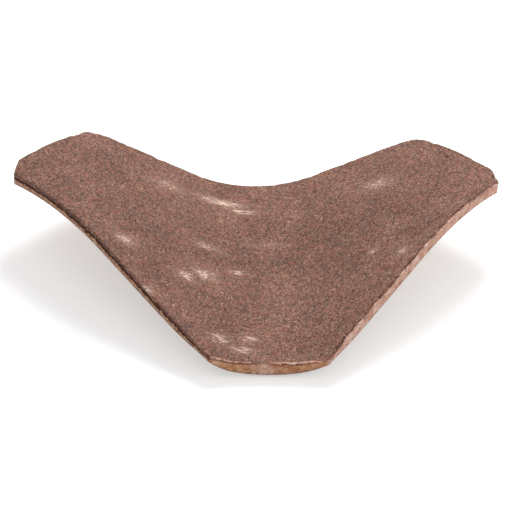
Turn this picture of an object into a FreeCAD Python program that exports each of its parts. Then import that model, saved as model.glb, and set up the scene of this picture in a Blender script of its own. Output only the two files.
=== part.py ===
import FreeCAD, Part
import math
import os
import Sketcher

# A purpose-made valley tile for plain tiling, pressed in one piece from sand-faced concrete.
# It lies as it would on a floor, trough down: X runs from wing tip to wing tip, Y from the
# narrow tail to the wide head, Z up. The origin is under the middle of the trough, halfway along.

DRIVING_DIMENSIONS = [
    ("tile_length", 265, "tail to head, along the trough"),
    ("tail_width", 98, "width of the narrow lower end"),
    ("tip_width", 438, "width across the two wing tips"),
    ("clip_taper", 5, "how much narrower the clipped tips are at their head side, over both"),
    ("head_width", 312, "width of the head before its corners are rounded"),
    ("tip_offset", 188, "tail to the widest point"),
    ("clip_length", 22, "length of the short clip at each wing tip"),
    ("tail_corner_radius", 5, "plan radius at the tail corners"),
    ("tip_corner_radius", 4, "plan radius at the corners of the tips"),
    ("head_corner_radius", 18, "plan radius at the head corners"),
    ("thickness", 12, "thickness, square to the surface"),
    ("trough_radius", 129, "radius of the trough's upper face"),
    ("wing_slope", 25.8, "slope of the flat part of each wing, in degrees"),
    ("wing_flat_end", 132, "middle to the outer end of the wing's flat part"),
    ("wing_roll_radius", 130, "radius of the roll-over towards the tip, upper face"),
    ("upper_arris_radius", 1.2, "rounding of the upper arris"),
    ("lower_arris_radius", 2, "rounding of the lower arris"),
    ("blank_margin", 20, "overhang of the mould blank that the outline trims off"),
]

doc = FreeCAD.newDocument("ValleyTile")

sheet = doc.addObject("Spreadsheet::Sheet", "dims")
size = {}
for row, (alias, value, note) in enumerate(DRIVING_DIMENSIONS, start=1):
    sheet.set(f"A{row}", alias)
    sheet.set(f"B{row}", str(value))
    sheet.set(f"C{row}", note)
    sheet.setAlias(f"B{row}", alias)
    size[alias] = value
doc.recompute()

START, END, CENTRE = 1, 2, 3
ORIGIN_POINT = (-1, 1)
VERTICAL_AXIS = -2
UP = FreeCAD.Vector(0, 0, 1)


def new_sketch(body, name, plane_role):
    """Make a sketch of the body on one of the body's own origin planes."""
    sketch = body.newObject("Sketcher::SketchObject", name)
    plane = [p for p in body.Origin.OriginFeatures if p.Role == plane_role][0]
    sketch.AttachmentSupport = [(plane, "")]
    sketch.MapMode = "FlatFace"
    return sketch


def line(sketch, first, last):
    """Add a straight line between two (x, y) pairs."""
    segment = Part.LineSegment(FreeCAD.Vector(*first, 0), FreeCAD.Vector(*last, 0))
    return sketch.addGeometry(segment, False)


def arc(sketch, centre, radius, start_angle, end_angle):
    """Add an arc that runs anticlockwise between two angles in radians."""
    circle = Part.Circle(FreeCAD.Vector(*centre, 0), UP, radius)
    return sketch.addGeometry(Part.ArcOfCircle(circle, start_angle, end_angle), False)


def rule(sketch, *terms):
    """Add a geometric constraint."""
    return sketch.addConstraint(Sketcher.Constraint(*terms))


def dimension(sketch, name, expression, *terms):
    """Add a dimension and drive it from the spreadsheet."""
    index = rule(sketch, *terms)
    sketch.renameConstraint(index, name)
    sketch.setExpression(f"Constraints.{name}", expression)


def draw_section(sketch):
    """Cross-section: round trough, flat wings, tips that roll over; one thickness all through."""
    slope = math.radians(size["wing_slope"])
    trough_centre = (0, size["thickness"] + size["trough_radius"])
    roll_centre_x = size["wing_flat_end"] + size["wing_roll_radius"] * math.sin(slope)
    flat_end_z = (
        trough_centre[1]
        - size["trough_radius"] * math.cos(slope)
        + (size["wing_flat_end"] - size["trough_radius"] * math.sin(slope)) * math.tan(slope)
    )
    roll_centre_z = flat_end_z - size["wing_roll_radius"] * math.cos(slope)
    half_width = size["tip_width"] / 2
    faces = {}
    for face, trough_radius, roll_radius in (
        ("upper", size["trough_radius"], size["wing_roll_radius"]),
        ("lower", size["trough_radius"] + size["thickness"], size["wing_roll_radius"] - size["thickness"]),
    ):
        trough = arc(sketch, trough_centre, trough_radius, 1.5 * math.pi - slope, 1.5 * math.pi + slope)
        parts = {"trough": trough}
        tip_angle = math.acos((half_width - roll_centre_x) / roll_radius)
        for side, sign in (("right", 1), ("left", -1)):
            inner = (
                sign * trough_radius * math.sin(slope),
                trough_centre[1] - trough_radius * math.cos(slope),
            )
            outer = (
                sign * (roll_centre_x - roll_radius * math.sin(slope)),
                roll_centre_z + roll_radius * math.cos(slope),
            )
            flat = line(sketch, inner, outer)
            roll_centre = (sign * roll_centre_x, roll_centre_z)
            if sign > 0:
                roll = arc(sketch, roll_centre, roll_radius, tip_angle, math.pi / 2 + slope)
                trough_end, roll_inner, roll_outer = END, END, START
            else:
                roll = arc(sketch, roll_centre, roll_radius, math.pi / 2 - slope, math.pi - tip_angle)
                trough_end, roll_inner, roll_outer = START, START, END
            rule(sketch, "Tangent", trough, trough_end, flat, START)
            rule(sketch, "Tangent", flat, END, roll, roll_inner)
            parts[side] = (flat, roll, roll_outer)
        rule(sketch, "Equal", parts["right"][1], parts["left"][1])
        faces[face] = parts

    upper, lower = faces["upper"], faces["lower"]
    rule(sketch, "PointOnObject", upper["trough"], CENTRE, VERTICAL_AXIS)
    rule(sketch, "Coincident", lower["trough"], CENTRE, upper["trough"], CENTRE)
    for side in ("right", "left"):
        rule(sketch, "Coincident", lower[side][1], CENTRE, upper[side][1], CENTRE)
        top = sketch.Geometry[upper[side][1]]
        bottom = sketch.Geometry[lower[side][1]]
        top_point = top.StartPoint if side == "right" else top.EndPoint
        bottom_point = bottom.StartPoint if side == "right" else bottom.EndPoint
        end_face = line(sketch, (top_point.x, top_point.y), (bottom_point.x, bottom_point.y))
        rule(sketch, "Coincident", end_face, START, upper[side][1], upper[side][2])
        rule(sketch, "Coincident", end_face, END, lower[side][1], lower[side][2])
        rule(sketch, "Vertical", end_face)
        faces[side + "_end"] = end_face
    rule(sketch, "Symmetric", upper["right"][0], END, upper["left"][0], END, VERTICAL_AXIS)

    dimension(sketch, "trough_radius", "dims.trough_radius", "Radius", upper["trough"], size["trough_radius"])
    dimension(
        sketch, "trough_underside_radius", "dims.trough_radius + dims.thickness",
        "Radius", lower["trough"], size["trough_radius"] + size["thickness"],
    )
    dimension(
        sketch, "trough_centre_height", "dims.trough_radius + dims.thickness",
        "DistanceY", *ORIGIN_POINT, upper["trough"], CENTRE, trough_centre[1],
    )
    dimension(sketch, "wing_slope", "dims.wing_slope * 1 deg", "Angle", upper["right"][0], slope)
    dimension(
        sketch, "wing_flat_end", "dims.wing_flat_end",
        "DistanceX", *ORIGIN_POINT, upper["right"][0], END, size["wing_flat_end"],
    )
    dimension(
        sketch, "roll_radius", "dims.wing_roll_radius",
        "Radius", upper["right"][1], size["wing_roll_radius"],
    )
    dimension(
        sketch, "roll_underside_radius", "dims.wing_roll_radius - dims.thickness",
        "Radius", lower["right"][1], size["wing_roll_radius"] - size["thickness"],
    )
    dimension(
        sketch, "right_half_width", "dims.tip_width / 2",
        "DistanceX", *ORIGIN_POINT, faces["right_end"], START, half_width,
    )
    dimension(
        sketch, "left_half_width", "dims.tip_width / 2",
        "DistanceX", faces["left_end"], START, *ORIGIN_POINT, half_width,
    )


def corner_arc(sketch, before, corner, after, radius):
    """Add the arc that rounds a corner of an anticlockwise outline; give its end points too."""
    corner = FreeCAD.Vector(*corner, 0)
    inward = (FreeCAD.Vector(*before, 0) - corner).normalize()
    onward = (FreeCAD.Vector(*after, 0) - corner).normalize()
    half_angle = inward.getAngle(onward) / 2
    setback = radius / math.tan(half_angle)
    first = corner + inward * setback
    last = corner + onward * setback
    centre = corner + (inward + onward).normalize() * (radius / math.sin(half_angle))
    start_angle = math.atan2(first.y - centre.y, first.x - centre.x)
    end_angle = math.atan2(last.y - centre.y, last.x - centre.x)
    index = arc(sketch, (centre.x, centre.y), radius, start_angle, end_angle)
    return index, (first.x, first.y), (last.x, last.y)


def draw_outline(sketch):
    """Plan outline: tail, diverging sides, clipped tips, wing head edges, square head."""
    half_length = size["tile_length"] / 2
    # name, full width there, distance from the tail, alias of the corner's radius
    right_corners = [
        ("tail", "dims.tail_width", "0", "tail_corner_radius"),
        ("tip", "dims.tip_width", "dims.tip_offset", "tip_corner_radius"),
        ("clip", "(dims.tip_width - dims.clip_taper)", "(dims.tip_offset + dims.clip_length)",
         "tip_corner_radius"),
        ("head", "dims.head_width", "dims.tile_length", "head_corner_radius"),
    ]
    clip_width = size["tip_width"] - size["clip_taper"]
    clip_end = size["tip_offset"] + size["clip_length"]
    points = [
        (size["tail_width"] / 2, -half_length),
        (size["tip_width"] / 2, size["tip_offset"] - half_length),
        (clip_width / 2, clip_end - half_length),
        (size["head_width"] / 2, half_length),
    ]
    points += [(-x, y) for x, y in reversed(points)]
    radii = [size[radius] for *_, radius in right_corners]
    radii += list(reversed(radii))

    arcs = []
    for i, point in enumerate(points):
        before = points[i - 1]
        after = points[(i + 1) % len(points)]
        arcs.append(corner_arc(sketch, before, point, after, radii[i]))
    sides = []
    for i in range(len(points)):
        following = (i + 1) % len(points)
        side = line(sketch, arcs[i][2], arcs[following][1])
        rule(sketch, "Tangent", arcs[i][0], END, side, START)
        rule(sketch, "Tangent", side, END, arcs[following][0], START)
        sides.append(side)
    corners = []
    for i, point in enumerate(points):
        corner = sketch.addGeometry(Part.Point(FreeCAD.Vector(*point, 0)), True)
        rule(sketch, "PointOnObject", corner, START, sides[i - 1])
        rule(sketch, "PointOnObject", corner, START, sides[i])
        corners.append(corner)

    for i, (name, width, along, radius) in enumerate(right_corners):
        mirrored = len(points) - 1 - i
        rule(sketch, "Symmetric", corners[i], START, corners[mirrored], START, VERTICAL_AXIS)
        rule(sketch, "Equal", arcs[i][0], arcs[mirrored][0])
        dimension(sketch, name + "_radius", "dims." + radius, "Radius", arcs[i][0], size[radius])
        dimension(
            sketch, name + "_half_width", f"{width} / 2",
            "DistanceX", *ORIGIN_POINT, corners[i], START, points[i][0],
        )
        dimension(
            sketch, name + "_along", f"{along} - dims.tile_length / 2",
            "DistanceY", *ORIGIN_POINT, corners[i], START, points[i][1],
        )


def draw_blank(sketch):
    """Outer edge of the trim: a rectangle past the blank on every side."""
    half_x = size["tip_width"] / 2 + size["blank_margin"]
    half_y = size["tile_length"] / 2 + size["blank_margin"]
    points = [(half_x, -half_y), (half_x, half_y), (-half_x, half_y), (-half_x, -half_y)]
    edges = [line(sketch, points[i], points[(i + 1) % 4]) for i in range(4)]
    for i in range(4):
        rule(sketch, "Coincident", edges[i], END, edges[(i + 1) % 4], START)
        rule(sketch, "Vertical" if i % 2 == 0 else "Horizontal", edges[i])
    rule(sketch, "Symmetric", edges[0], START, edges[2], START, *ORIGIN_POINT)
    dimension(
        sketch, "blank_half_width", "dims.tip_width / 2 + dims.blank_margin",
        "DistanceX", *ORIGIN_POINT, edges[0], END, half_x,
    )
    dimension(
        sketch, "blank_half_length", "dims.tile_length / 2 + dims.blank_margin",
        "DistanceY", *ORIGIN_POINT, edges[0], END, half_y,
    )


def arris_edges(shape, direction):
    """Names of the edges where the upward (1) or downward (-1) faces meet the cut sides."""

    def normal_z(face):
        u_low, u_high, v_low, v_high = face.ParameterRange
        return face.normalAt((u_low + u_high) / 2, (v_low + v_high) / 2).z

    surface = [face for face in shape.Faces if normal_z(face) * direction > 0.5]
    cut_sides = [face for face in shape.Faces if abs(normal_z(face)) < 0.01]
    names = []
    for number, edge in enumerate(shape.Edges, start=1):
        on_surface = any(edge.isSame(other) for face in surface for other in face.Edges)
        on_side = any(edge.isSame(other) for face in cut_sides for other in face.Edges)
        if on_surface and on_side:
            names.append(f"Edge{number}")
    return names


def add_fillet(body, base, name, direction, radius_alias):
    """Round the upper or the lower arris all the way round the tile."""
    fillet = body.newObject("PartDesign::Fillet", name)
    fillet.Base = (base, arris_edges(base.Shape, direction))
    fillet.Radius = size[radius_alias]
    fillet.setExpression("Radius", "dims." + radius_alias)
    doc.recompute()
    return fillet


tile = doc.addObject("PartDesign::Body", "valley_tile")
tile.Label = "valley_tile"

section = new_sketch(tile, "section", "XZ_Plane")
draw_section(section)
blank = tile.newObject("PartDesign::Pad", "blank")
blank.Profile = section
blank.Midplane = True
blank.Length = size["tile_length"]
blank.setExpression("Length", "dims.tile_length")
doc.recompute()
blank_volume = blank.Shape.Volume

outline = new_sketch(tile, "outline", "XY_Plane")
draw_outline(outline)
draw_blank(outline)
trim = tile.newObject("PartDesign::Pocket", "trim")
trim.Profile = outline
trim.Type = "ThroughAll"
trim.Midplane = True
doc.recompute()
if not trim.Shape.Volume < 0.9 * blank_volume:
    raise RuntimeError("the outline did not trim the blank")

upper_arris = add_fillet(tile, trim, "upper_arris", 1, "upper_arris_radius")
lower_arris = add_fillet(tile, upper_arris, "lower_arris", -1, "lower_arris_radius")
tile.Tip = lower_arris
tile.Placement = FreeCAD.Placement()
doc.recompute()

for item in doc.Objects:
    if "Invalid" in item.State or "Error" in item.State:
        raise RuntimeError(f"{item.Name} did not build: {item.State}")
for sketch in (section, outline):
    if sketch.solve() != 0:
        raise RuntimeError(f"{sketch.Name} has conflicting constraints")
if tile.Shape.isNull() or not tile.Shape.isValid():
    raise RuntimeError("the tile is not a valid solid")
if len(tile.Shape.Solids) != 1:
    raise RuntimeError("the tile should be one solid")

os.makedirs("parts", exist_ok=True)
tile.Shape.exportStep(f"parts/{tile.Label}.step")
box = tile.Shape.optimalBoundingBox()
print(f"{tile.Label}: {box.XLength:.1f} x {box.YLength:.1f} x {box.ZLength:.1f} mm, ", end="")
print(f"{tile.Shape.Volume / 1000:.0f} cm3, lowest point {box.ZMin:.3f}")
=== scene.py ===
import math
import bpy
import numpy as np
from mathutils import Matrix, Vector


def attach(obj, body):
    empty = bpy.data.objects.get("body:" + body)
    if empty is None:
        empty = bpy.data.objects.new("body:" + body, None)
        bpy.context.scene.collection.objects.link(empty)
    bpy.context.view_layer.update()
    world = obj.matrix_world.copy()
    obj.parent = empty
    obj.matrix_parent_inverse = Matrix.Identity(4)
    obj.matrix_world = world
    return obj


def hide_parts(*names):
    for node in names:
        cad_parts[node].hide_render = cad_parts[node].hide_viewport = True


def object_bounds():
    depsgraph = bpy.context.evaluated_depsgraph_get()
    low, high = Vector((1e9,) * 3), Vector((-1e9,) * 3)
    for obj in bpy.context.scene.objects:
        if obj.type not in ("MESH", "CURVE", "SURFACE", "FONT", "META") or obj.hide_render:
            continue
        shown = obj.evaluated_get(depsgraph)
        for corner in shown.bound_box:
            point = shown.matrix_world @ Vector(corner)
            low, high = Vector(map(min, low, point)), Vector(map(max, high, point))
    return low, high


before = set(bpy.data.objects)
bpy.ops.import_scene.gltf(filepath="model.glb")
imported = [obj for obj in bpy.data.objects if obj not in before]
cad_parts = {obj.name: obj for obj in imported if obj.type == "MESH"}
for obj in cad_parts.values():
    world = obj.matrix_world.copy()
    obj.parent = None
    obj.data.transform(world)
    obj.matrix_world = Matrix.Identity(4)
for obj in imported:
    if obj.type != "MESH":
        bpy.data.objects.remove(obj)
cad_low, cad_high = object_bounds()


# ---- Studio ---------------------------------------------------------------------------------
# A white paper floor, a soft lamp high behind the head and a weak one low on the right. The
# camera looks from the tail up the trough, turned a little on its own axis.

bpy.context.scene.view_settings.view_transform = "Standard"


def linear(red, green, blue):
    """A colour given as 0 to 255 display values, as the linear values that shaders take."""
    steps = [value / 255 for value in (red, green, blue)]
    return tuple(s / 12.92 if s <= 0.04045 else ((s + 0.055) / 1.055) ** 2.4 for s in steps) + (1.0,)


def look_from(azimuth, elevation, roll=0.0):
    """Rotation of a camera or lamp that looks from there: azimuth 0 is from -Y, in degrees."""
    azimuth, elevation, roll = (math.radians(angle) for angle in (azimuth, elevation, roll))
    back = Vector((
        math.sin(azimuth) * math.cos(elevation),
        -math.cos(azimuth) * math.cos(elevation),
        math.sin(elevation),
    ))
    right = Vector((0, 0, 1)).cross(back).normalized()
    up = back.cross(right)
    turned_right = math.cos(roll) * right + math.sin(roll) * up
    turned_up = math.cos(roll) * up - math.sin(roll) * right
    return Matrix((turned_right, turned_up, back)).transposed().to_4x4(), back


def place(thing, aim, distance, azimuth, elevation, roll=0.0):
    """Put a camera or lamp at a distance from the point it is aimed at."""
    turn, back = look_from(azimuth, elevation, roll)
    thing.matrix_world = Matrix.Translation(Vector(aim) + back * distance) @ turn


camera = bpy.data.objects.new("camera", bpy.data.cameras.new("camera"))
bpy.context.scene.collection.objects.link(camera)
camera.data.sensor_width = 36
camera.data.lens = 91.8
place(camera, aim=(-0.0051, -0.0025, 0.0278), distance=1.1455, azimuth=-5.6, elevation=36.3, roll=4.15)
bpy.context.scene.camera = camera


def soft_lamp(name, watts, size, azimuth, elevation, distance=1.6):
    """A square studio lamp aimed at the tile."""
    lamp = bpy.data.objects.new(name, bpy.data.lights.new(name, "AREA"))
    lamp.data.energy = watts
    lamp.data.size = size
    bpy.context.scene.collection.objects.link(lamp)
    place(lamp, (0, 0, 0.03), distance, azimuth, elevation)


soft_lamp("key_lamp", watts=18, size=0.6, azimuth=168, elevation=50)
soft_lamp("side_lamp", watts=2.6, size=0.7, azimuth=82, elevation=30)


def socket_pair(tree, value, socket):
    """Feed a socket from another socket, or set it to a plain value."""
    if isinstance(value, bpy.types.NodeSocket):
        tree.links.new(value, socket)
    else:
        socket.default_value = value


def shade(tree, kind, settings=None, **values):
    """Add a shader node, set its options and feed its inputs, and return it."""
    node = tree.nodes.new("ShaderNode" + kind)
    for name, value in (settings or {}).items():
        setattr(node, name, value)
    for name, value in values.items():
        socket_pair(tree, value, node.inputs[name.replace("_", " ")])
    return node


world = bpy.data.worlds.new("studio")
bpy.context.scene.world = world
world.use_nodes = True
tree = world.node_tree
# The tile is lit by a dim even world, which the camera sees as a white backdrop.
WORLD_LIGHT = 0.56
BACKDROP = 1.0
choose = shade(tree, "MixShader", Fac=shade(tree, "LightPath").outputs["Is Camera Ray"])
for strength, socket in ((WORLD_LIGHT, choose.inputs[1]), (BACKDROP, choose.inputs[2])):
    glow = shade(tree, "Background", Color=(1, 1, 1, 1), Strength=strength)
    tree.links.new(glow.outputs[0], socket)
tree.links.new(choose.outputs[0], tree.nodes["World Output"].inputs["Surface"])

bpy.ops.mesh.primitive_plane_add(size=20)
floor = bpy.context.object
floor.name = "floor"
paper = bpy.data.materials.new("paper")
paper.use_nodes = True
tree = paper.node_tree
# A glow that only the camera sees lifts the paper to white and leaves the tile's shadow on it.
PAPER_TONE = 0.82
PAPER_GLOW = 0.44
seen = shade(tree, "LightPath").outputs["Is Camera Ray"]
lift = shade(tree, "MapRange", Value=seen, To_Max=PAPER_GLOW)
glow = shade(tree, "Emission", Color=(1, 1, 1, 1), Strength=lift.outputs["Result"])
matt = shade(tree, "BsdfDiffuse", Color=(PAPER_TONE, PAPER_TONE, PAPER_TONE, 1))
both = shade(tree, "AddShader")
tree.links.new(matt.outputs[0], both.inputs[0])
tree.links.new(glow.outputs[0], both.inputs[1])
tree.links.new(both.outputs[0], tree.nodes["Material Output"].inputs["Surface"])
floor.data.materials.append(paper)


# ---- Tile body ------------------------------------------------------------------------------
# The whole tile is one pressed piece of through-coloured concrete: a round trough, flat wings
# and tips that roll over, trimmed to a kite-like outline. The sand facing breaks along the upper
# arris, and the cut sides and underside are bare concrete.

THICKNESS = 0.012
TROUGH_RADIUS = 0.129
WING_SLOPE = math.radians(25.8)
WING_FLAT_END = 0.132
WING_ROLL_RADIUS = 0.130
UPPER_ARRIS = 0.0012
LOWER_ARRIS = 0.0020
FACING_DEPTH = 0.0006

half_length = (cad_high.y - cad_low.y) / 2
TIP_OFFSET = 0.188
CLIP_LENGTH = 0.022
OUTLINE = [  # right-hand corners from tail to head: half width, place along, plan radius
    (0.049, -half_length, 0.005),
    (0.219, TIP_OFFSET - half_length, 0.004),
    (0.2165, TIP_OFFSET + CLIP_LENGTH - half_length, 0.004),
    (0.156, half_length, 0.018),
]


def face_height(x, depth):
    """Height above the floor of the surface that lies a depth below the upper face."""
    x = np.abs(x)
    trough = TROUGH_RADIUS + depth
    roll = WING_ROLL_RADIUS - depth
    trough_centre = THICKNESS + TROUGH_RADIUS
    roll_x = WING_FLAT_END + WING_ROLL_RADIUS * math.sin(WING_SLOPE)
    flat_end = (
        trough_centre
        - TROUGH_RADIUS * math.cos(WING_SLOPE)
        + (WING_FLAT_END - TROUGH_RADIUS * math.sin(WING_SLOPE)) * math.tan(WING_SLOPE)
    )
    roll_z = flat_end - WING_ROLL_RADIUS * math.cos(WING_SLOPE)
    flat_start = trough * math.sin(WING_SLOPE)
    flat_stop = roll_x - roll * math.sin(WING_SLOPE)
    in_trough = trough_centre - np.sqrt(trough**2 - np.minimum(x, flat_start) ** 2)
    on_flat = trough_centre - trough * math.cos(WING_SLOPE) + (x - flat_start) * math.tan(WING_SLOPE)
    on_roll = roll_z + np.sqrt(np.maximum(roll**2 - (x - roll_x) ** 2, 0))
    return np.where(x < flat_start, in_trough, np.where(x < flat_stop, on_flat, on_roll))


def edge_distance(x, y):
    """How far a point of the plan lies inside the outline with its rounded corners."""
    x = np.abs(x)
    corners = [(0.0, -half_length, 0.0)] + OUTLINE + [(0.0, half_length, 0.0)]
    normals, depths = [], []
    for (x0, y0, _), (x1, y1, _) in zip(corners[:-1], corners[1:]):
        run = math.hypot(x1 - x0, y1 - y0)
        inward = ((y0 - y1) / run, (x1 - x0) / run)
        normals.append(inward)
        depths.append((x - x0) * inward[0] + (y - y0) * inward[1])
    inside = np.minimum.reduce(depths)
    for i, (_, _, radius) in enumerate(OUTLINE):
        near = (depths[i] < radius) & (depths[i + 1] < radius)
        cosine = normals[i][0] * normals[i + 1][0] + normals[i][1] * normals[i + 1][1]
        a, b = radius - depths[i], radius - depths[i + 1]
        # Components towards the corner, beyond each tangent point.
        past_a = a - b * cosine
        past_b = b - a * cosine
        reach = np.sqrt(np.maximum(a * past_a + b * past_b, 0) / (1 - cosine**2))
        inside = np.where(near & (past_a > 0) & (past_b > 0), radius - reach, inside)
    return inside


def half_width(y, beyond=0.25, halvings=40):
    """Distance from the middle to the side of the outline at each place along the tile."""
    low, high = np.zeros_like(y), np.full_like(y, beyond)
    for _ in range(halvings):
        middle = (low + high) / 2
        outside = edge_distance(middle, y) < 0
        high = np.where(outside, middle, high)
        low = np.where(outside, low, middle)
    return low


def lattice(column, row, seed):
    """A repeatable random number from 0 to 1 for each whole-number cell."""
    mixed = np.sin(column * 127.1 + row * 311.7 + seed * 74.7) * 43758.5453
    return mixed - np.floor(mixed)


def waves(x, y, cell, seed, octaves=1):
    """Smooth random unevenness from -1 to 1, with lumps about one cell across."""
    total, weight = np.zeros_like(x), 0.0
    for octave in range(octaves):
        u, v = x / cell * 2**octave, y / cell * 2**octave
        column, row = np.floor(u), np.floor(v)
        fu, fv = u - column, v - row
        fu, fv = fu * fu * (3 - 2 * fu), fv * fv * (3 - 2 * fv)
        near = lattice(column, row, seed) * (1 - fu) + lattice(column + 1, row, seed) * fu
        far = lattice(column, row + 1, seed) * (1 - fu) + lattice(column + 1, row + 1, seed) * fu
        total += (near * (1 - fv) + far * fv) / 2**octave
        weight += 1 / 2**octave
    return 2 * total / weight - 1


def graded(span, count, widening=1.0):
    """Distances across a span, close together at both edges and even between them."""
    edge = widening * np.array([0, 0.00015, 0.00045, 0.0009, 0.0016, 0.0026])
    even = np.linspace(edge[-1], span - edge[-1], count - 2 * len(edge) + 2)
    return np.concatenate([edge[:-1], even, (span - edge[:-1])[::-1]])


ROWS = 170
COLUMNS = 246
STEEPEST_LEAN = 2.5

rows = graded(2 * half_length, ROWS) - half_length
widths = half_width(rows)
lean = np.clip(np.abs(np.gradient(widths, rows)), 0, STEEPEST_LEAN)
widening = np.sqrt(1 + lean**2)
grid_x = np.array([graded(2 * width, COLUMNS, wide) - width for width, wide in zip(widths, widening)])
grid_y = np.repeat(rows[:, None], COLUMNS, axis=1)
inside = np.maximum(edge_distance(grid_x, grid_y), 0)


def rounding(inside, radius):
    """How far a rounded arris falls away from its face."""
    reach = np.clip(radius - inside, 0, radius)
    return radius - np.sqrt(radius**2 - reach**2)


def face_waves(cell, seed, octaves=1):
    """Unevenness at every point of the grid that both faces share."""
    return waves(grid_x, grid_y, cell, seed, octaves)


def bell(distance, reach):
    """A share that is 1 at no distance and falls away smoothly on both sides."""
    return np.exp(-((distance / reach) ** 2))


def fade(distance, reach):
    """A share that is 1 at an edge and dies away from it."""
    return np.exp(-distance / reach)


PITS = [  # middle across, middle along, radius, depth
    (0.177, 0.095, 0.0023, 0.0018),
    (0.216, 0.066, 0.0024, 0.0020),
    (-0.004, 0.020, 0.0010, 0.0010),
    (0.060, -0.040, 0.0009, 0.0010),
]

# On the left side the facing rolls over the arris; elsewhere it stops short at a ragged bare lip.
(tail_x, tail_y, _), (tip_x, tip_y, _) = OUTLINE[:2]
side_run = math.hypot(tip_x - tail_x, tip_y - tail_y)
from_left = ((grid_x + tail_x) * (tip_y - tail_y) + (grid_y - tail_y) * (tip_x - tail_x)) / side_run
from_right = ((tail_x - grid_x) * (tip_y - tail_y) + (grid_y - tail_y) * (tip_x - tail_x)) / side_run
from_tail = grid_y + half_length
left_share = fade(np.maximum(from_left, 0), 0.004)
LIP_WIDTH = 0.0017
LIP_WANDER = 0.0019
NARROWEST_LIP = 0.0003
RIGHT_LIP_LOSS = 0.0007
lip_width = np.maximum(LIP_WIDTH + LIP_WANDER * face_waves(0.011, 21, 3), NARROWEST_LIP)
lip = np.clip(1.5 - np.minimum(from_tail, from_right + RIGHT_LIP_LOSS) / lip_width, 0, 1) * (1 - left_share)
upper_radius = UPPER_ARRIS * (0.45 + 1.35 * left_share)

SLUMP = 0.00030
RIPPLE = 0.00016
GRIT = 0.00016
BITE_DEPTH = 0.0022
slump = SLUMP * face_waves(0.060, 1) + RIPPLE * face_waves(0.014, 2, 2)
rough = GRIT * face_waves(0.0042, 3, 2)
bites = np.clip(face_waves(0.0075, 4, 2) - 0.15, 0, 1) * fade(inside, 0.0018)
upper = face_height(grid_x, FACING_DEPTH) - rounding(inside, upper_radius)
upper += slump + rough - BITE_DEPTH * bites * (1 - 0.6 * lip)

# The tail's edge is pressed nearly straight: a little high in the middle, low at the right corner.
TAIL_CROWN = 0.0030
CORNER_DROP = 0.0036
CORNER_PLACE = 0.050
LIP_RISE = 0.0006
LIP_UNEVENNESS = 0.0013
HEADROOM = 0.0001
tail_reach = bell(from_tail, 0.011)
upper += TAIL_CROWN * tail_reach * bell(grid_x, 0.030)
upper -= CORNER_DROP * tail_reach * bell(grid_x - CORNER_PLACE, 0.015)
upper += lip * (LIP_RISE + LIP_UNEVENNESS * face_waves(0.0060, 22, 3)) * fade(from_tail, 0.02)
upper = np.minimum(upper, cad_high.z - HEADROOM)
pit = np.zeros_like(grid_x)
for middle_x, middle_y, radius, depth in PITS:
    hollow = np.exp(-((grid_x - middle_x) ** 2 + (grid_y - middle_y) ** 2) / radius**2)
    upper -= depth * hollow
    pit = np.maximum(pit, hollow)

# The underside is worn away below the tail and most of all below its corners.
UNDERSIDE_ROUGHNESS = 0.00025
TAIL_WEAR = 0.0016
LEFT_CORNER_WEAR = 0.0062
RIGHT_CORNER_WEAR = 0.0036
WEAR_START = 0.026
lower_rough = UNDERSIDE_ROUGHNESS * np.abs(face_waves(0.012, 5, 3))
lower = face_height(grid_x, THICKNESS) + rounding(inside, LOWER_ARRIS) + lower_rough
lower += TAIL_WEAR * bell(from_tail, 0.013)
near_corner = np.clip((np.abs(grid_x) - WEAR_START) / WEAR_START, 0, 1.3) ** 2
worn_corner = near_corner * fade(np.maximum(from_tail, 0), 0.014)
lower += np.where(grid_x < 0, LEFT_CORNER_WEAR, RIGHT_CORNER_WEAR) * worn_corner

perimeter = (
    [(0, i) for i in range(COLUMNS - 1)]
    + [(j, COLUMNS - 1) for j in range(ROWS - 1)]
    + [(ROWS - 1, i) for i in range(COLUMNS - 1, 0, -1)]
    + [(j, 0) for j in range(ROWS - 1, 0, -1)]
)
rim = np.array(perimeter)
rim_x, rim_y = grid_x[rim[:, 0], rim[:, 1]], grid_y[rim[:, 0], rim[:, 1]]
rim_along = np.concatenate([[0], np.cumsum(np.hypot(np.diff(rim_x), np.diff(rim_y)))])
tangent = np.stack([np.roll(rim_x, -1) - np.roll(rim_x, 1), np.roll(rim_y, -1) - np.roll(rim_y, 1)], 1)
tangent /= np.linalg.norm(tangent, axis=1)[:, None]
inward = np.stack([-tangent[:, 1], tangent[:, 0]], 1)
rim_top = upper[rim[:, 0], rim[:, 1]]
rim_bottom = lower[rim[:, 0], rim[:, 1]]

# The whole upper edge wanders inward by a few tenths of a millimetre, where sand has broken away.
EDGE_WANDER = 0.00035
ragged = EDGE_WANDER * (1 + face_waves(0.0032, 6, 2)) * fade(inside, 0.0009)
push = np.zeros(grid_x.shape + (2,))
push[rim[:, 0], rim[:, 1]] = inward
upper_x = grid_x + ragged * push[..., 0]
upper_y = grid_y + ragged * push[..., 1]

# The middle of the tail's cut face is chipped to a lumpy paler patch.
CHIP_PLACE = -0.004
CHIP_REACH = 0.0095
TAIL_STRIP = 0.002
chipped_face = bell(rim_x - CHIP_PLACE, CHIP_REACH) * (rim_y < -half_length + TAIL_STRIP)

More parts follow.
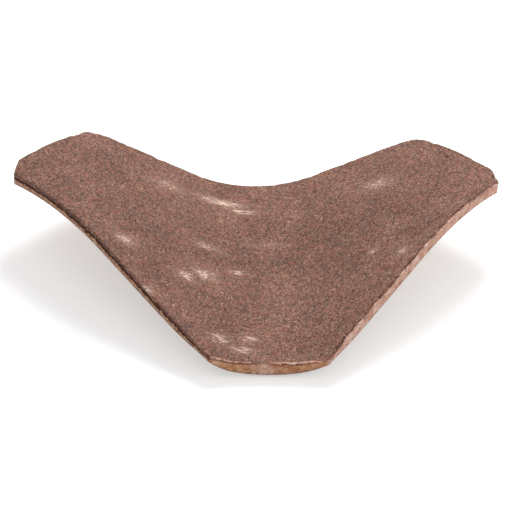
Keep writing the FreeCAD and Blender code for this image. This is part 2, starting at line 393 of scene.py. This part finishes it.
# The cut sides go down in rings, each pushed in by a rough skin, scattered dents, a groove below
# the lip and the chips.
SIDE_RINGS = 7
SIDE_ROUGHNESS = 0.00022
DENT_DEPTH = 0.0016
GROOVE_DEPTH = 0.0005
GROOVE_PLACE = 0.2
CHIP_DEPTH = 0.0011
vertices = [np.stack([upper_x, upper_y, upper], -1).reshape(-1, 3)]
vertices.append(np.stack([grid_x, grid_y, lower], -1).reshape(-1, 3))
for ring in range(1, SIDE_RINGS + 1):
    share_down = ring / (SIDE_RINGS + 1)
    height = rim_top + (rim_bottom - rim_top) * share_down
    dent = SIDE_ROUGHNESS * (1 + waves(rim_along, height, 0.0035, 7, 2))
    dent += DENT_DEPTH * np.clip(waves(rim_along, height, 0.006, 8, 2) - 0.25, 0, 1)
    groove = GROOVE_DEPTH * bell(share_down - GROOVE_PLACE, 0.1)
    dent += groove * (1 + waves(rim_along, height, 0.004, 9))
    dent += CHIP_DEPTH * chipped_face * (1 + waves(rim_along, height, 0.0045, 10, 2))
    ring_x, ring_y = rim_x + inward[:, 0] * dent, rim_y + inward[:, 1] * dent
    vertices.append(np.stack([ring_x, ring_y, height], 1))
vertices = np.concatenate(vertices)

sheet_size = grid_x.size
index = np.arange(sheet_size).reshape(grid_x.shape)
quads = np.stack([index[:-1, :-1], index[:-1, 1:], index[1:, 1:], index[1:, :-1]], -1).reshape(-1, 4)
rings = [index[rim[:, 0], rim[:, 1]]]
for ring in range(SIDE_RINGS):
    rings.append(2 * sheet_size + ring * len(rim) + np.arange(len(rim)))
rings.append(rings[0] + sheet_size)
side_quads = []
for above, below in zip(rings[:-1], rings[1:]):
    side_quads.append(np.stack([above, below, np.roll(below, -1), np.roll(above, -1)], -1))
faces = np.concatenate([quads, quads[:, ::-1] + sheet_size] + side_quads)

body_mesh = bpy.data.meshes.new("tile_body")
body_mesh.from_pydata(vertices.tolist(), [], faces.tolist())
body_mesh.update()
body_mesh.polygons.foreach_set("use_smooth", [True] * len(body_mesh.polygons))
body = bpy.data.objects.new("tile_body", body_mesh)
bpy.context.scene.collection.objects.link(body)

# Facing is 1 where there is sand. Scuff marks where it is rubbed pale, and dark where the face is
# darkened: in the pits, along a line inside the right arris, and as painted shade along the left
# arris. Down goes from 0 at the top of a cut side to 1 on the underside.
SCUFFS = [  # middle across, middle along, half width, half length, strength
    (-0.032, 0.097, 0.030, 0.0075, 1.00),
    (-0.012, 0.087, 0.020, 0.0055, 0.95),
    (-0.080, 0.094, 0.018, 0.010, 0.76),
    (-0.119, -0.018, 0.011, 0.009, 0.90),
    (-0.067, -0.035, 0.012, 0.010, 0.90),
    (-0.050, -0.023, 0.016, 0.012, 0.85),
    (-0.020, -0.009, 0.012, 0.005, 0.95),
    (-0.047, 0.020, 0.015, 0.007, 0.76),
    (0.010, 0.034, 0.020, 0.005, 0.61),
    (0.112, 0.080, 0.018, 0.012, 0.81),
    (0.119, -0.029, 0.006, 0.006, 0.90),
    (0.096, -0.016, 0.005, 0.004, 1.00),
    (-0.099, -0.076, 0.006, 0.007, 1.00),
    (-0.039, -0.105, 0.012, 0.010, 0.88),
    (-0.014, -0.098, 0.012, 0.006, 0.90),
    (-0.021, -0.114, 0.014, 0.007, 0.90),
]
scuff = np.zeros_like(grid_x)
for middle_x, middle_y, reach_x, reach_y, strength in SCUFFS:
    away = ((grid_x - middle_x) / reach_x) ** 2 + ((grid_y - middle_y) / reach_y) ** 2
    scuff = np.maximum(scuff, strength * np.exp(-away))
# The left cut side is marked for painted shade: the shader paints it darker.
leftward = np.clip(inward[:, 0] * 1.5, 0, 1)
zeros, ones = np.zeros(sheet_size), np.ones(sheet_size)
# A dark line runs just inside the right arris; along the left arris the upper face is painted shade.
RIGHT_DARK_LINE = 0.72
RIGHT_DARK_LINE_INSET = 0.0026
LEFT_PAINTED_SHADE = 0.45
dark_edge = RIGHT_DARK_LINE * bell(from_right - RIGHT_DARK_LINE_INSET, 0.0020) * (from_right > 0)
dark_edge = np.maximum(dark_edge, LEFT_PAINTED_SHADE * fade(inside, 0.0030) * left_share)
side_zeros = np.zeros(SIDE_RINGS * len(rim))
side_down = np.repeat(np.arange(1, SIDE_RINGS + 1) / (SIDE_RINGS + 1), len(rim))
# A dark seam runs below the lip at the tail, and a broader one on the left side is painted shade.
seamed = np.clip(1 + 2.5 * inward[:, 0], 0, 1) * (inward[:, 1] > 0)
# The right cut side is marked for painted light: the shader paints it paler.
rightward = np.clip(-1.5 * inward[:, 0], 0, 1) * (inward[:, 1] > 0)
rim_values = {"shaded_side": leftward, "painted_light_side": rightward, "seam": seamed, "chipped": chipped_face}
for name, values in (
    ("facing", [1 - lip.ravel(), zeros, side_zeros]),
    ("scuff", [scuff.ravel(), zeros, side_zeros]),
    ("dark", [np.maximum(pit, dark_edge).ravel(), zeros, side_zeros]),
    ("down", [zeros, ones, side_down]),
):
    layer = body_mesh.attributes.new(name, "FLOAT", "POINT")
    layer.data.foreach_set("value", np.concatenate(values))
for name, values in rim_values.items():
    sheet_values = np.zeros_like(grid_x)
    sheet_values[rim[:, 0], rim[:, 1]] = values
    layer = body_mesh.attributes.new(name, "FLOAT", "POINT")
    both_faces = np.tile(sheet_values.ravel(), 2)
    layer.data.foreach_set("value", np.concatenate([both_faces, np.tile(values, SIDE_RINGS)]))


def lay_out(across, along, left, bottom, width, height):
    """Give a whole face its own part of the flat map."""
    return np.stack([left + width * across, bottom + height * along], 1)


# The piece's own flat map: upper face above, underside below it, cut sides in four strips beside that.
flat_x = (grid_x.ravel() - cad_low.x) / (cad_high.x - cad_low.x)
flat_y = (grid_y.ravel() + half_length) / (2 * half_length)
upper_map = lay_out(flat_x, flat_y, left=0.01, bottom=0.40, width=0.98, height=0.59)
lower_map = lay_out(flat_x, flat_y, left=0.01, bottom=0.01, width=0.63, height=0.37)
strip_length = -(-len(rim) // 4)
side_maps = []
for ring in range(SIDE_RINGS + 1):
    start = np.arange(len(rim))
    strip = start // strip_length
    corners = [(start, ring), (start, ring + 1), (start + 1, ring + 1), (start + 1, ring)]
    side_maps.append(np.stack([
        np.stack([
            0.66 + 0.33 * (along - strip * strip_length) / strip_length,
            0.01 + 0.095 * strip + 0.085 * down / (SIDE_RINGS + 1),
        ], 1)
        for along, down in corners
    ], 1))
flat_map = np.concatenate([upper_map[quads], lower_map[quads[:, ::-1]]] + side_maps)
body_mesh.uv_layers.new(name="OFBake").uv.foreach_set("vector", flat_map.astype(np.float32).ravel())


def sums(tree, operation, first, second=0.0, third=0.0, clamp=False):
    """One arithmetic step on two shader values, or on three for a multiply and add."""
    node = tree.nodes.new("ShaderNodeMath")
    node.operation = operation
    node.use_clamp = clamp
    socket_pair(tree, first, node.inputs[0])
    socket_pair(tree, second, node.inputs[1])
    socket_pair(tree, third, node.inputs[2])
    return node.outputs[0]


def blend_colours(tree, share, first, second):
    """Mix two colours by a share from 0 to 1."""
    node = tree.nodes.new("ShaderNodeMix")
    node.data_type = "RGBA"
    socket_pair(tree, share, node.inputs["Factor"])
    socket_pair(tree, first, node.inputs["A"])
    socket_pair(tree, second, node.inputs["B"])
    return node.outputs["Result"]


def ramp(tree, value, stops):
    """Turn a value into a colour by its stops: (position, colour)."""
    node = tree.nodes.new("ShaderNodeValToRGB")
    while len(node.color_ramp.elements) < len(stops):
        node.color_ramp.elements.new(0.5)
    for element, (position, colour) in zip(node.color_ramp.elements, stops):
        element.position = position
        element.color = colour
    tree.links.new(value, node.inputs["Fac"])
    return node.outputs["Color"]


def layer_value(tree, name):
    """Read one of the tile's own layers: facing, scuff, dark and the rest."""
    return shade(tree, "Attribute", {"attribute_name": name}).outputs["Fac"]


def mottle_value(tree, place_on, scale, detail, roughness=0.5):
    """Cloudy unevenness from 0 to 1, fixed to the tile."""
    return shade(
        tree, "TexNoise", Vector=place_on, Scale=scale, Detail=detail, Roughness=roughness
    ).outputs["Fac"]


def sharpen(tree, value, gain, offset):
    """Stretch a value into a clear patch, cut off at 0 and 1."""
    return sums(tree, "MULTIPLY_ADD", value, gain, offset, clamp=True)


def sway(tree, tone, unevenness, amount):
    """Shift a tone up and down by an amount of unevenness."""
    shift = sums(tree, "MULTIPLY", sums(tree, "SUBTRACT", unevenness, 0.5), amount)
    return sums(tree, "ADD", tone, shift, clamp=True)


SAND_TONES = [
    (0.00, linear(56, 44, 42)),
    (0.22, linear(94, 70, 61)),
    (0.44, linear(128, 92, 79)),
    (0.64, linear(148, 107, 92)),
    (0.82, linear(170, 129, 113)),
    (1.00, linear(198, 162, 147)),
]
RED_CAST = linear(168, 104, 88)
GREY_CAST = linear(112, 104, 96)
SCUFF_TONE = linear(240, 210, 192)
DUST_TONE = linear(206, 164, 148)
# Dark tone of the pits and the right arris line, and painted shade on the left arris and left cut side.
DARK_MARK_AND_SHADE = linear(82, 50, 37)
# Colours of the pale bare lip, also laid over the right cut side as painted light.
LIP_AND_LIT_SIDE_TONES = [(0.3, linear(184, 128, 108)), (0.5, linear(228, 180, 160)), (0.7, linear(248, 218, 204))]
# Grey-brown underside, which also stands as painted shade along the foot of the cut sides.
UNDERSIDE_AND_FOOT_SHADE = linear(116, 102, 92)
CUT_CONCRETE = [(0.3, linear(158, 100, 68)), (0.5, linear(206, 148, 110)), (0.7, linear(236, 192, 158))]
# A darker copy of the cut concrete: painted shade for the left cut side.
SHADED_CUT = [(0.3, linear(146, 96, 70)), (0.5, linear(194, 146, 116)), (0.7, linear(228, 188, 160))]
SEAM = linear(116, 62, 42)


def rub_pale(tree, colour, place_on):
    """Streaks across the tile where handling has rubbed the sand pale, inside the scuffed patches."""
    scuffed = layer_value(tree, "scuff")
    stretched = shade(tree, "Mapping", Vector=place_on, Scale=(85.0, 700.0, 700.0)).outputs["Vector"]
    streak = mottle_value(tree, stretched, 1.0, 5.0, 0.7)
    over = sums(tree, "MULTIPLY_ADD", scuffed, 1.2, sums(tree, "MULTIPLY_ADD", streak, 5.0, -2.5))
    rubbed = sharpen(tree, over, 1.7, -1.35)
    rubbed = sums(tree, "MULTIPLY", rubbed, sums(tree, "MULTIPLY", scuffed, 1.0, clamp=True))
    colour = blend_colours(tree, sums(tree, "MULTIPLY", scuffed, 0.22), colour, DUST_TONE)
    return blend_colours(tree, rubbed, colour, SCUFF_TONE)


def vary_cast(tree, colour, place_on):
    """Drift the sand towards red in some places and towards grey in others."""
    drift = mottle_value(tree, place_on, 150.0, 3.0, 0.7)
    redder = sharpen(tree, drift, 1.8, -0.93)
    greyer = sharpen(tree, drift, -2.2, 1.06)
    colour = blend_colours(tree, redder, colour, RED_CAST)
    return blend_colours(tree, greyer, colour, GREY_CAST)


def darken_marks_and_shade(tree, colour, break_up):
    """Darken the pits and the arrises in broken patches; along the left arris this is painted shade."""
    dark = layer_value(tree, "dark")
    patchy = sums(tree, "ADD", dark, sums(tree, "MULTIPLY_ADD", break_up, 1.6, -0.8))
    return blend_colours(tree, sharpen(tree, patchy, 2.5, -1.2), colour, DARK_MARK_AND_SHADE)


concrete = bpy.data.materials.new("sand_faced_concrete")
concrete.use_nodes = True
tree = concrete.node_tree
surface = tree.nodes["Principled BSDF"]
place_on = shade(tree, "TexCoord").outputs["Object"]
facing = layer_value(tree, "facing")
down = layer_value(tree, "down")
shaded_side = layer_value(tree, "shaded_side")
fine = shade(tree, "TexVoronoi", Vector=place_on, Scale=1150.0)
coarse = shade(tree, "TexVoronoi", Vector=place_on, Scale=700.0)
cloud = mottle_value(tree, place_on, 40.0, 4.0)
broad = mottle_value(tree, place_on, 8.0, 2.0)
break_up = mottle_value(tree, place_on, 420.0, 3.0)
fine_tone = shade(tree, "SeparateColor", Color=fine.outputs["Color"]).outputs[0]
coarse_tone = shade(tree, "SeparateColor", Color=coarse.outputs["Color"]).outputs[1]
tone = sums(tree, "ADD", sums(tree, "MULTIPLY", fine_tone, 0.5), sums(tree, "MULTIPLY", coarse_tone, 0.5))
tone = sway(tree, sway(tree, tone, cloud, 0.35), broad, 0.25)
sand = vary_cast(tree, ramp(tree, tone, SAND_TONES), place_on)
# Darker in the pits and along a line inside the right arris, and painted shade along the left arris.
sand = darken_marks_and_shade(tree, rub_pale(tree, sand, place_on), break_up)
cut_noise = mottle_value(tree, place_on, 160.0, 6.0, 0.65)
seam = layer_value(tree, "seam")
chipped = layer_value(tree, "chipped")
bare_lip_and_lit_side = ramp(tree, cut_noise, LIP_AND_LIT_SIDE_TONES)
painted_light_side = layer_value(tree, "painted_light_side")
# The right cut side takes the lip's colours as painted light; the chipped patch is paler in its own right.
painted_light_and_chip = sums(tree, "MULTIPLY_ADD", painted_light_side, 0.9, chipped, clamp=True)
cut = blend_colours(tree, painted_light_and_chip, ramp(tree, cut_noise, CUT_CONCRETE), bare_lip_and_lit_side)
cut = blend_colours(tree, shaded_side, cut, ramp(tree, cut_noise, SHADED_CUT))
# Down a cut side: on the left sand, then a broad dark seam and darker bare concrete that are painted
# shade; at the tail a pale lip, a thin broken dark seam, then bare concrete; elsewhere the lip and
# no seam, and the right side is painted paler in the lip's colours as painted light.
raggedness = sums(tree, "MULTIPLY_ADD", shaded_side, 0.6, 0.5)
ragged_down = sums(tree, "MULTIPLY_ADD", sums(tree, "SUBTRACT", break_up, 0.5), raggedness, down)
seam_foot = sums(tree, "MULTIPLY_ADD", shaded_side, 0.36, 0.28)
seam_top = sums(tree, "MULTIPLY_ADD", shaded_side, 0.09, 0.13)
in_seam = sums(tree, "MULTIPLY", sums(tree, "SUBTRACT", seam_foot, ragged_down), 9.0, clamp=True)
in_seam = sums(tree, "MULTIPLY", in_seam, sums(tree, "MULTIPLY_ADD", chipped, -0.7, seam, clamp=True))
above_seam = sums(tree, "MULTIPLY", sums(tree, "SUBTRACT", seam_top, ragged_down), 9.0, clamp=True)
mottle = mottle_value(tree, place_on, 260.0, 3.0, 0.6)
lip_colour = blend_colours(tree, sharpen(tree, mottle, 5.0, -1.7), sand, bare_lip_and_lit_side)
lip_colour = blend_colours(tree, shaded_side, lip_colour, sand)
# The underside's grey creeps up the foot of every cut side: painted shade along the rounded lower arris.
foot = sharpen(tree, ragged_down, 8.0, -7.4)
cut = blend_colours(tree, sums(tree, "MULTIPLY", foot, 0.8), cut, UNDERSIDE_AND_FOOT_SHADE)
cut = blend_colours(tree, in_seam, cut, blend_colours(tree, shaded_side, SEAM, DARK_MARK_AND_SHADE))
cut = blend_colours(tree, above_seam, cut, lip_colour)
facing_edge = sums(tree, "SUBTRACT", sums(tree, "ADD", facing, break_up), 0.95)
shown_sand = sums(tree, "MULTIPLY", facing_edge, 5.0, clamp=True)
tree.links.new(blend_colours(tree, shown_sand, cut, sand), surface.inputs["Base Color"])
surface.inputs["Roughness"].default_value = 0.92
surface.inputs["Specular IOR Level"].default_value = 0.25
relief = sums(tree, "ADD", fine.outputs["Distance"], coarse.outputs["Distance"])
bump = shade(tree, "Bump", Height=relief, Strength=0.5, Distance=0.0005)
bump.invert = True
tree.links.new(bump.outputs["Normal"], surface.inputs["Normal"])
body_mesh.materials.append(concrete)
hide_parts("valley_tile")
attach(body, "root")


# ---- Sand facing ----------------------------------------------------------------------------
# Angular grains of coloured mineral sand, 0.5 to 1.5 mm across, thrown on the wet upper face and
# rolled in so that the largest stand about a quarter proud. Four loads differ in colour and size.

LEAST_FACING = 0.6
KNOCK = 0.00011
SUNK_SHARE = 0.22


def grains_tree():
    """Geometry nodes that scatter angular grains over the facing and press them part of the way in."""
    tree = bpy.data.node_groups.new("sand_grains", "GeometryNodeTree")
    tree.interface.new_socket("Tile", in_out="INPUT", socket_type="NodeSocketGeometry")
    for label in ("Grains per Square Metre", "Smallest", "Largest", "Sunk"):
        tree.interface.new_socket(label, in_out="INPUT", socket_type="NodeSocketFloat")
    for label in ("Sides", "Rings", "Seed"):
        tree.interface.new_socket(label, in_out="INPUT", socket_type="NodeSocketInt")
    tree.interface.new_socket("Stone", in_out="INPUT", socket_type="NodeSocketMaterial")
    tree.interface.new_socket("Sand", in_out="OUTPUT", socket_type="NodeSocketGeometry")

    def step(kind, settings=None, feeds=()):
        """Add a node, set its options and feed its inputs."""
        node = tree.nodes.new(kind)
        for name, value in (settings or {}).items():
            setattr(node, name, value)
        for name, value in feeds:
            socket_pair(tree, value, node.inputs[name])
        return node

    given = tree.nodes.new("NodeGroupInput").outputs
    facing = step("GeometryNodeInputNamedAttribute", {"data_type": "FLOAT"}, [("Name", "facing")])
    on_face = step(
        "FunctionNodeCompare", {"data_type": "FLOAT", "operation": "GREATER_THAN"},
        [("A", facing.outputs["Attribute"]), ("B", LEAST_FACING)],
    )
    spots = step("GeometryNodeDistributePointsOnFaces", {"distribute_method": "RANDOM"}, [
        ("Mesh", given["Tile"]),
        ("Selection", on_face.outputs["Result"]),
        ("Density", given["Grains per Square Metre"]),
        ("Seed", given["Seed"]),
    ])
    sink = step("ShaderNodeVectorMath", {"operation": "SCALE"}, [("Vector", spots.outputs["Normal"])])
    tree.links.new(
        step("ShaderNodeMath", {"operation": "MULTIPLY"}, [(0, given["Sunk"]), (1, -1.0)]).outputs[0],
        sink.inputs["Scale"],
    )
    pressed = step("GeometryNodeSetPosition", None, [
        ("Geometry", spots.outputs["Points"]), ("Offset", sink.outputs["Vector"]),
    ])
    shade_of = step("FunctionNodeRandomValue", {"data_type": "FLOAT"}, [("Seed", given["Seed"])])
    toned = step("GeometryNodeStoreNamedAttribute", {"data_type": "FLOAT", "domain": "POINT"}, [
        ("Geometry", pressed.outputs["Geometry"]), ("Name", "tone"), ("Value", shade_of.outputs[1]),
    ])
    numbered = step("GeometryNodeStoreNamedAttribute", {"data_type": "INT", "domain": "POINT"}, [
        ("Geometry", toned.outputs["Geometry"]),
        ("Name", "grain"),
        ("Value", step("GeometryNodeInputIndex").outputs[0]),
    ])
    width = step("FunctionNodeRandomValue", {"data_type": "FLOAT"}, [("Seed", 11)])
    tree.links.new(given["Smallest"], width.inputs[2])
    tree.links.new(given["Largest"], width.inputs[3])
    shape = step("FunctionNodeRandomValue", {"data_type": "FLOAT_VECTOR"}, [("Seed", 12)])
    shape.inputs[0].default_value = (0.75, 0.6, 0.5)
    shape.inputs[1].default_value = (1.0, 1.0, 0.9)
    sized = step("ShaderNodeVectorMath", {"operation": "SCALE"}, [("Vector", shape.outputs[0])])
    tree.links.new(width.outputs[1], sized.inputs["Scale"])
    turn = step("FunctionNodeRandomValue", {"data_type": "FLOAT_VECTOR"}, [("Seed", 13)])
    turn.inputs[1].default_value = (2 * math.pi, 2 * math.pi, 2 * math.pi)
    grain = step("GeometryNodeMeshUVSphere", None, [
        ("Segments", given["Sides"]), ("Rings", given["Rings"]), ("Radius", 0.5),
    ])
    scattered = step("GeometryNodeInstanceOnPoints", None, [
        ("Points", numbered.outputs["Geometry"]),
        ("Instance", grain.outputs["Mesh"]),
        ("Rotation", step("FunctionNodeEulerToRotation", None, [("Euler", turn.outputs[0])]).outputs[0]),
        ("Scale", sized.outputs["Vector"]),
    ])
    real = step("GeometryNodeRealizeInstances", None, [("Geometry", scattered.outputs["Instances"])])
    knocks = step("FunctionNodeRandomValue", {"data_type": "FLOAT_VECTOR"}, [("Seed", 14)])
    knocks.inputs[0].default_value = (-KNOCK, -KNOCK, -KNOCK)
    knocks.inputs[1].default_value = (KNOCK, KNOCK, KNOCK)
    angular = step("GeometryNodeSetPosition", None, [
        ("Geometry", real.outputs["Geometry"]), ("Offset", knocks.outputs[0]),
    ])
    finished = step("GeometryNodeSetMaterial", None, [
        ("Geometry", angular.outputs["Geometry"]), ("Material", given["Stone"]),
    ])
    tree.links.new(finished.outputs["Geometry"], tree.nodes.new("NodeGroupOutput").inputs["Sand"])
    return tree


def sand_material(name, tones):
    """Mineral sand of one load: each grain has its own tone between the given colours."""
    stone = bpy.data.materials.new(name)
    stone.use_nodes = True
    tree = stone.node_tree
    surface = tree.nodes["Principled BSDF"]
    place_on = shade(tree, "TexCoord").outputs["Object"]
    tone = layer_value(tree, "tone")
    cloud = mottle_value(tree, place_on, 40.0, 3.0)
    tone = sway(tree, tone, cloud, 0.4)
    break_up = mottle_value(tree, place_on, 420.0, 3.0)
    colour = rub_pale(tree, vary_cast(tree, ramp(tree, tone, tones), place_on), place_on)
    # The grains are darkened too: in the pits, on the right arris line, and as painted shade on the left
    # arris.
    colour = darken_marks_and_shade(tree, colour, break_up)
    tree.links.new(colour, surface.inputs["Base Color"])
    surface.inputs["Roughness"].default_value = 0.8
    surface.inputs["Specular IOR Level"].default_value = 0.35
    return stone


def scatter_sand(name, tree, stone, grains, smallest, largest, sides, rings, seed):
    """Scatter one load of sand over the tile and make it a plain mesh."""
    sand = bpy.data.objects.new(name, body_mesh.copy())
    bpy.context.scene.collection.objects.link(sand)
    nodes = sand.modifiers.new("sand", "NODES")
    nodes.node_group = tree
    wanted = {
        "Grains per Square Metre": grains,
        "Smallest": smallest,
        "Largest": largest,
        "Sunk": SUNK_SHARE * largest,
        "Sides": sides,
        "Rings": rings,
        "Seed": seed,
        "Stone": stone,
    }
    for item in tree.interface.items_tree:
        if item.in_out == "INPUT" and item.name in wanted:
            nodes[item.identifier] = wanted[item.name]
    view_layer = bpy.context.evaluated_depsgraph_get()
    mesh = bpy.data.meshes.new_from_object(sand.evaluated_get(view_layer), depsgraph=view_layer)
    sand.modifiers.remove(nodes)
    sand.data = mesh
    mesh.name = name
    # A grain that would stand past the tile's outer limits is pressed back to them.
    places = np.empty(len(mesh.vertices) * 3, np.float32)
    mesh.vertices.foreach_get("co", places)
    places = np.clip(places.reshape(-1, 3), np.array(cad_low), np.array(cad_high))
    mesh.vertices.foreach_set("co", places.ravel())
    mesh.update()
    # Each grain has its own small cell of the flat map, with its corners on a ring inside it.
    count = len(mesh.vertices)
    number = np.empty(count, np.int32)
    mesh.attributes["grain"].data.foreach_get("value", number)
    cells = math.ceil(math.sqrt(number.max() + 1))
    angle = np.arange(count) * 2.4
    spots = np.stack([number % cells, number // cells], 1) + 0.5
    spots += 0.3 * np.stack([np.cos(angle), np.sin(angle)], 1)
    corner = np.empty(len(mesh.loops), np.int32)
    mesh.loops.foreach_get("vertex_index", corner)
    flat = mesh.uv_layers.new(name="OFBake")
    flat.uv.foreach_set("vector", (spots / cells)[corner].astype(np.float32).ravel())
    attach(sand, "root")


sand_tree = grains_tree()
DARK_SAND = [(0.0, linear(38, 34, 35)), (0.4, linear(68, 53, 49)), (1.0, linear(120, 87, 75))]
RED_SAND = [(0.0, linear(116, 66, 54)), (0.5, linear(150, 98, 82)), (1.0, linear(178, 125, 107))]
BUFF_SAND = [(0.0, linear(128, 94, 80)), (0.7, linear(156, 119, 104)), (1.0, linear(196, 162, 148))]
loads = [
    ("dark_sand", DARK_SAND, 92000, 0.0009, 0.0015, 5, 3, 1),
    ("red_sand", RED_SAND, 92000, 0.0009, 0.0015, 5, 3, 2),
    ("buff_sand", BUFF_SAND, 225000, 0.0006, 0.0011, 4, 2, 3),
    ("fine_dark_sand", DARK_SAND, 225000, 0.0005, 0.0009, 4, 2, 4),
]
for name, tones, grains, smallest, largest, sides, rings, seed in loads:
    scatter_sand(name, sand_tree, sand_material(name, tones), grains, smallest, largest, sides, rings, seed)
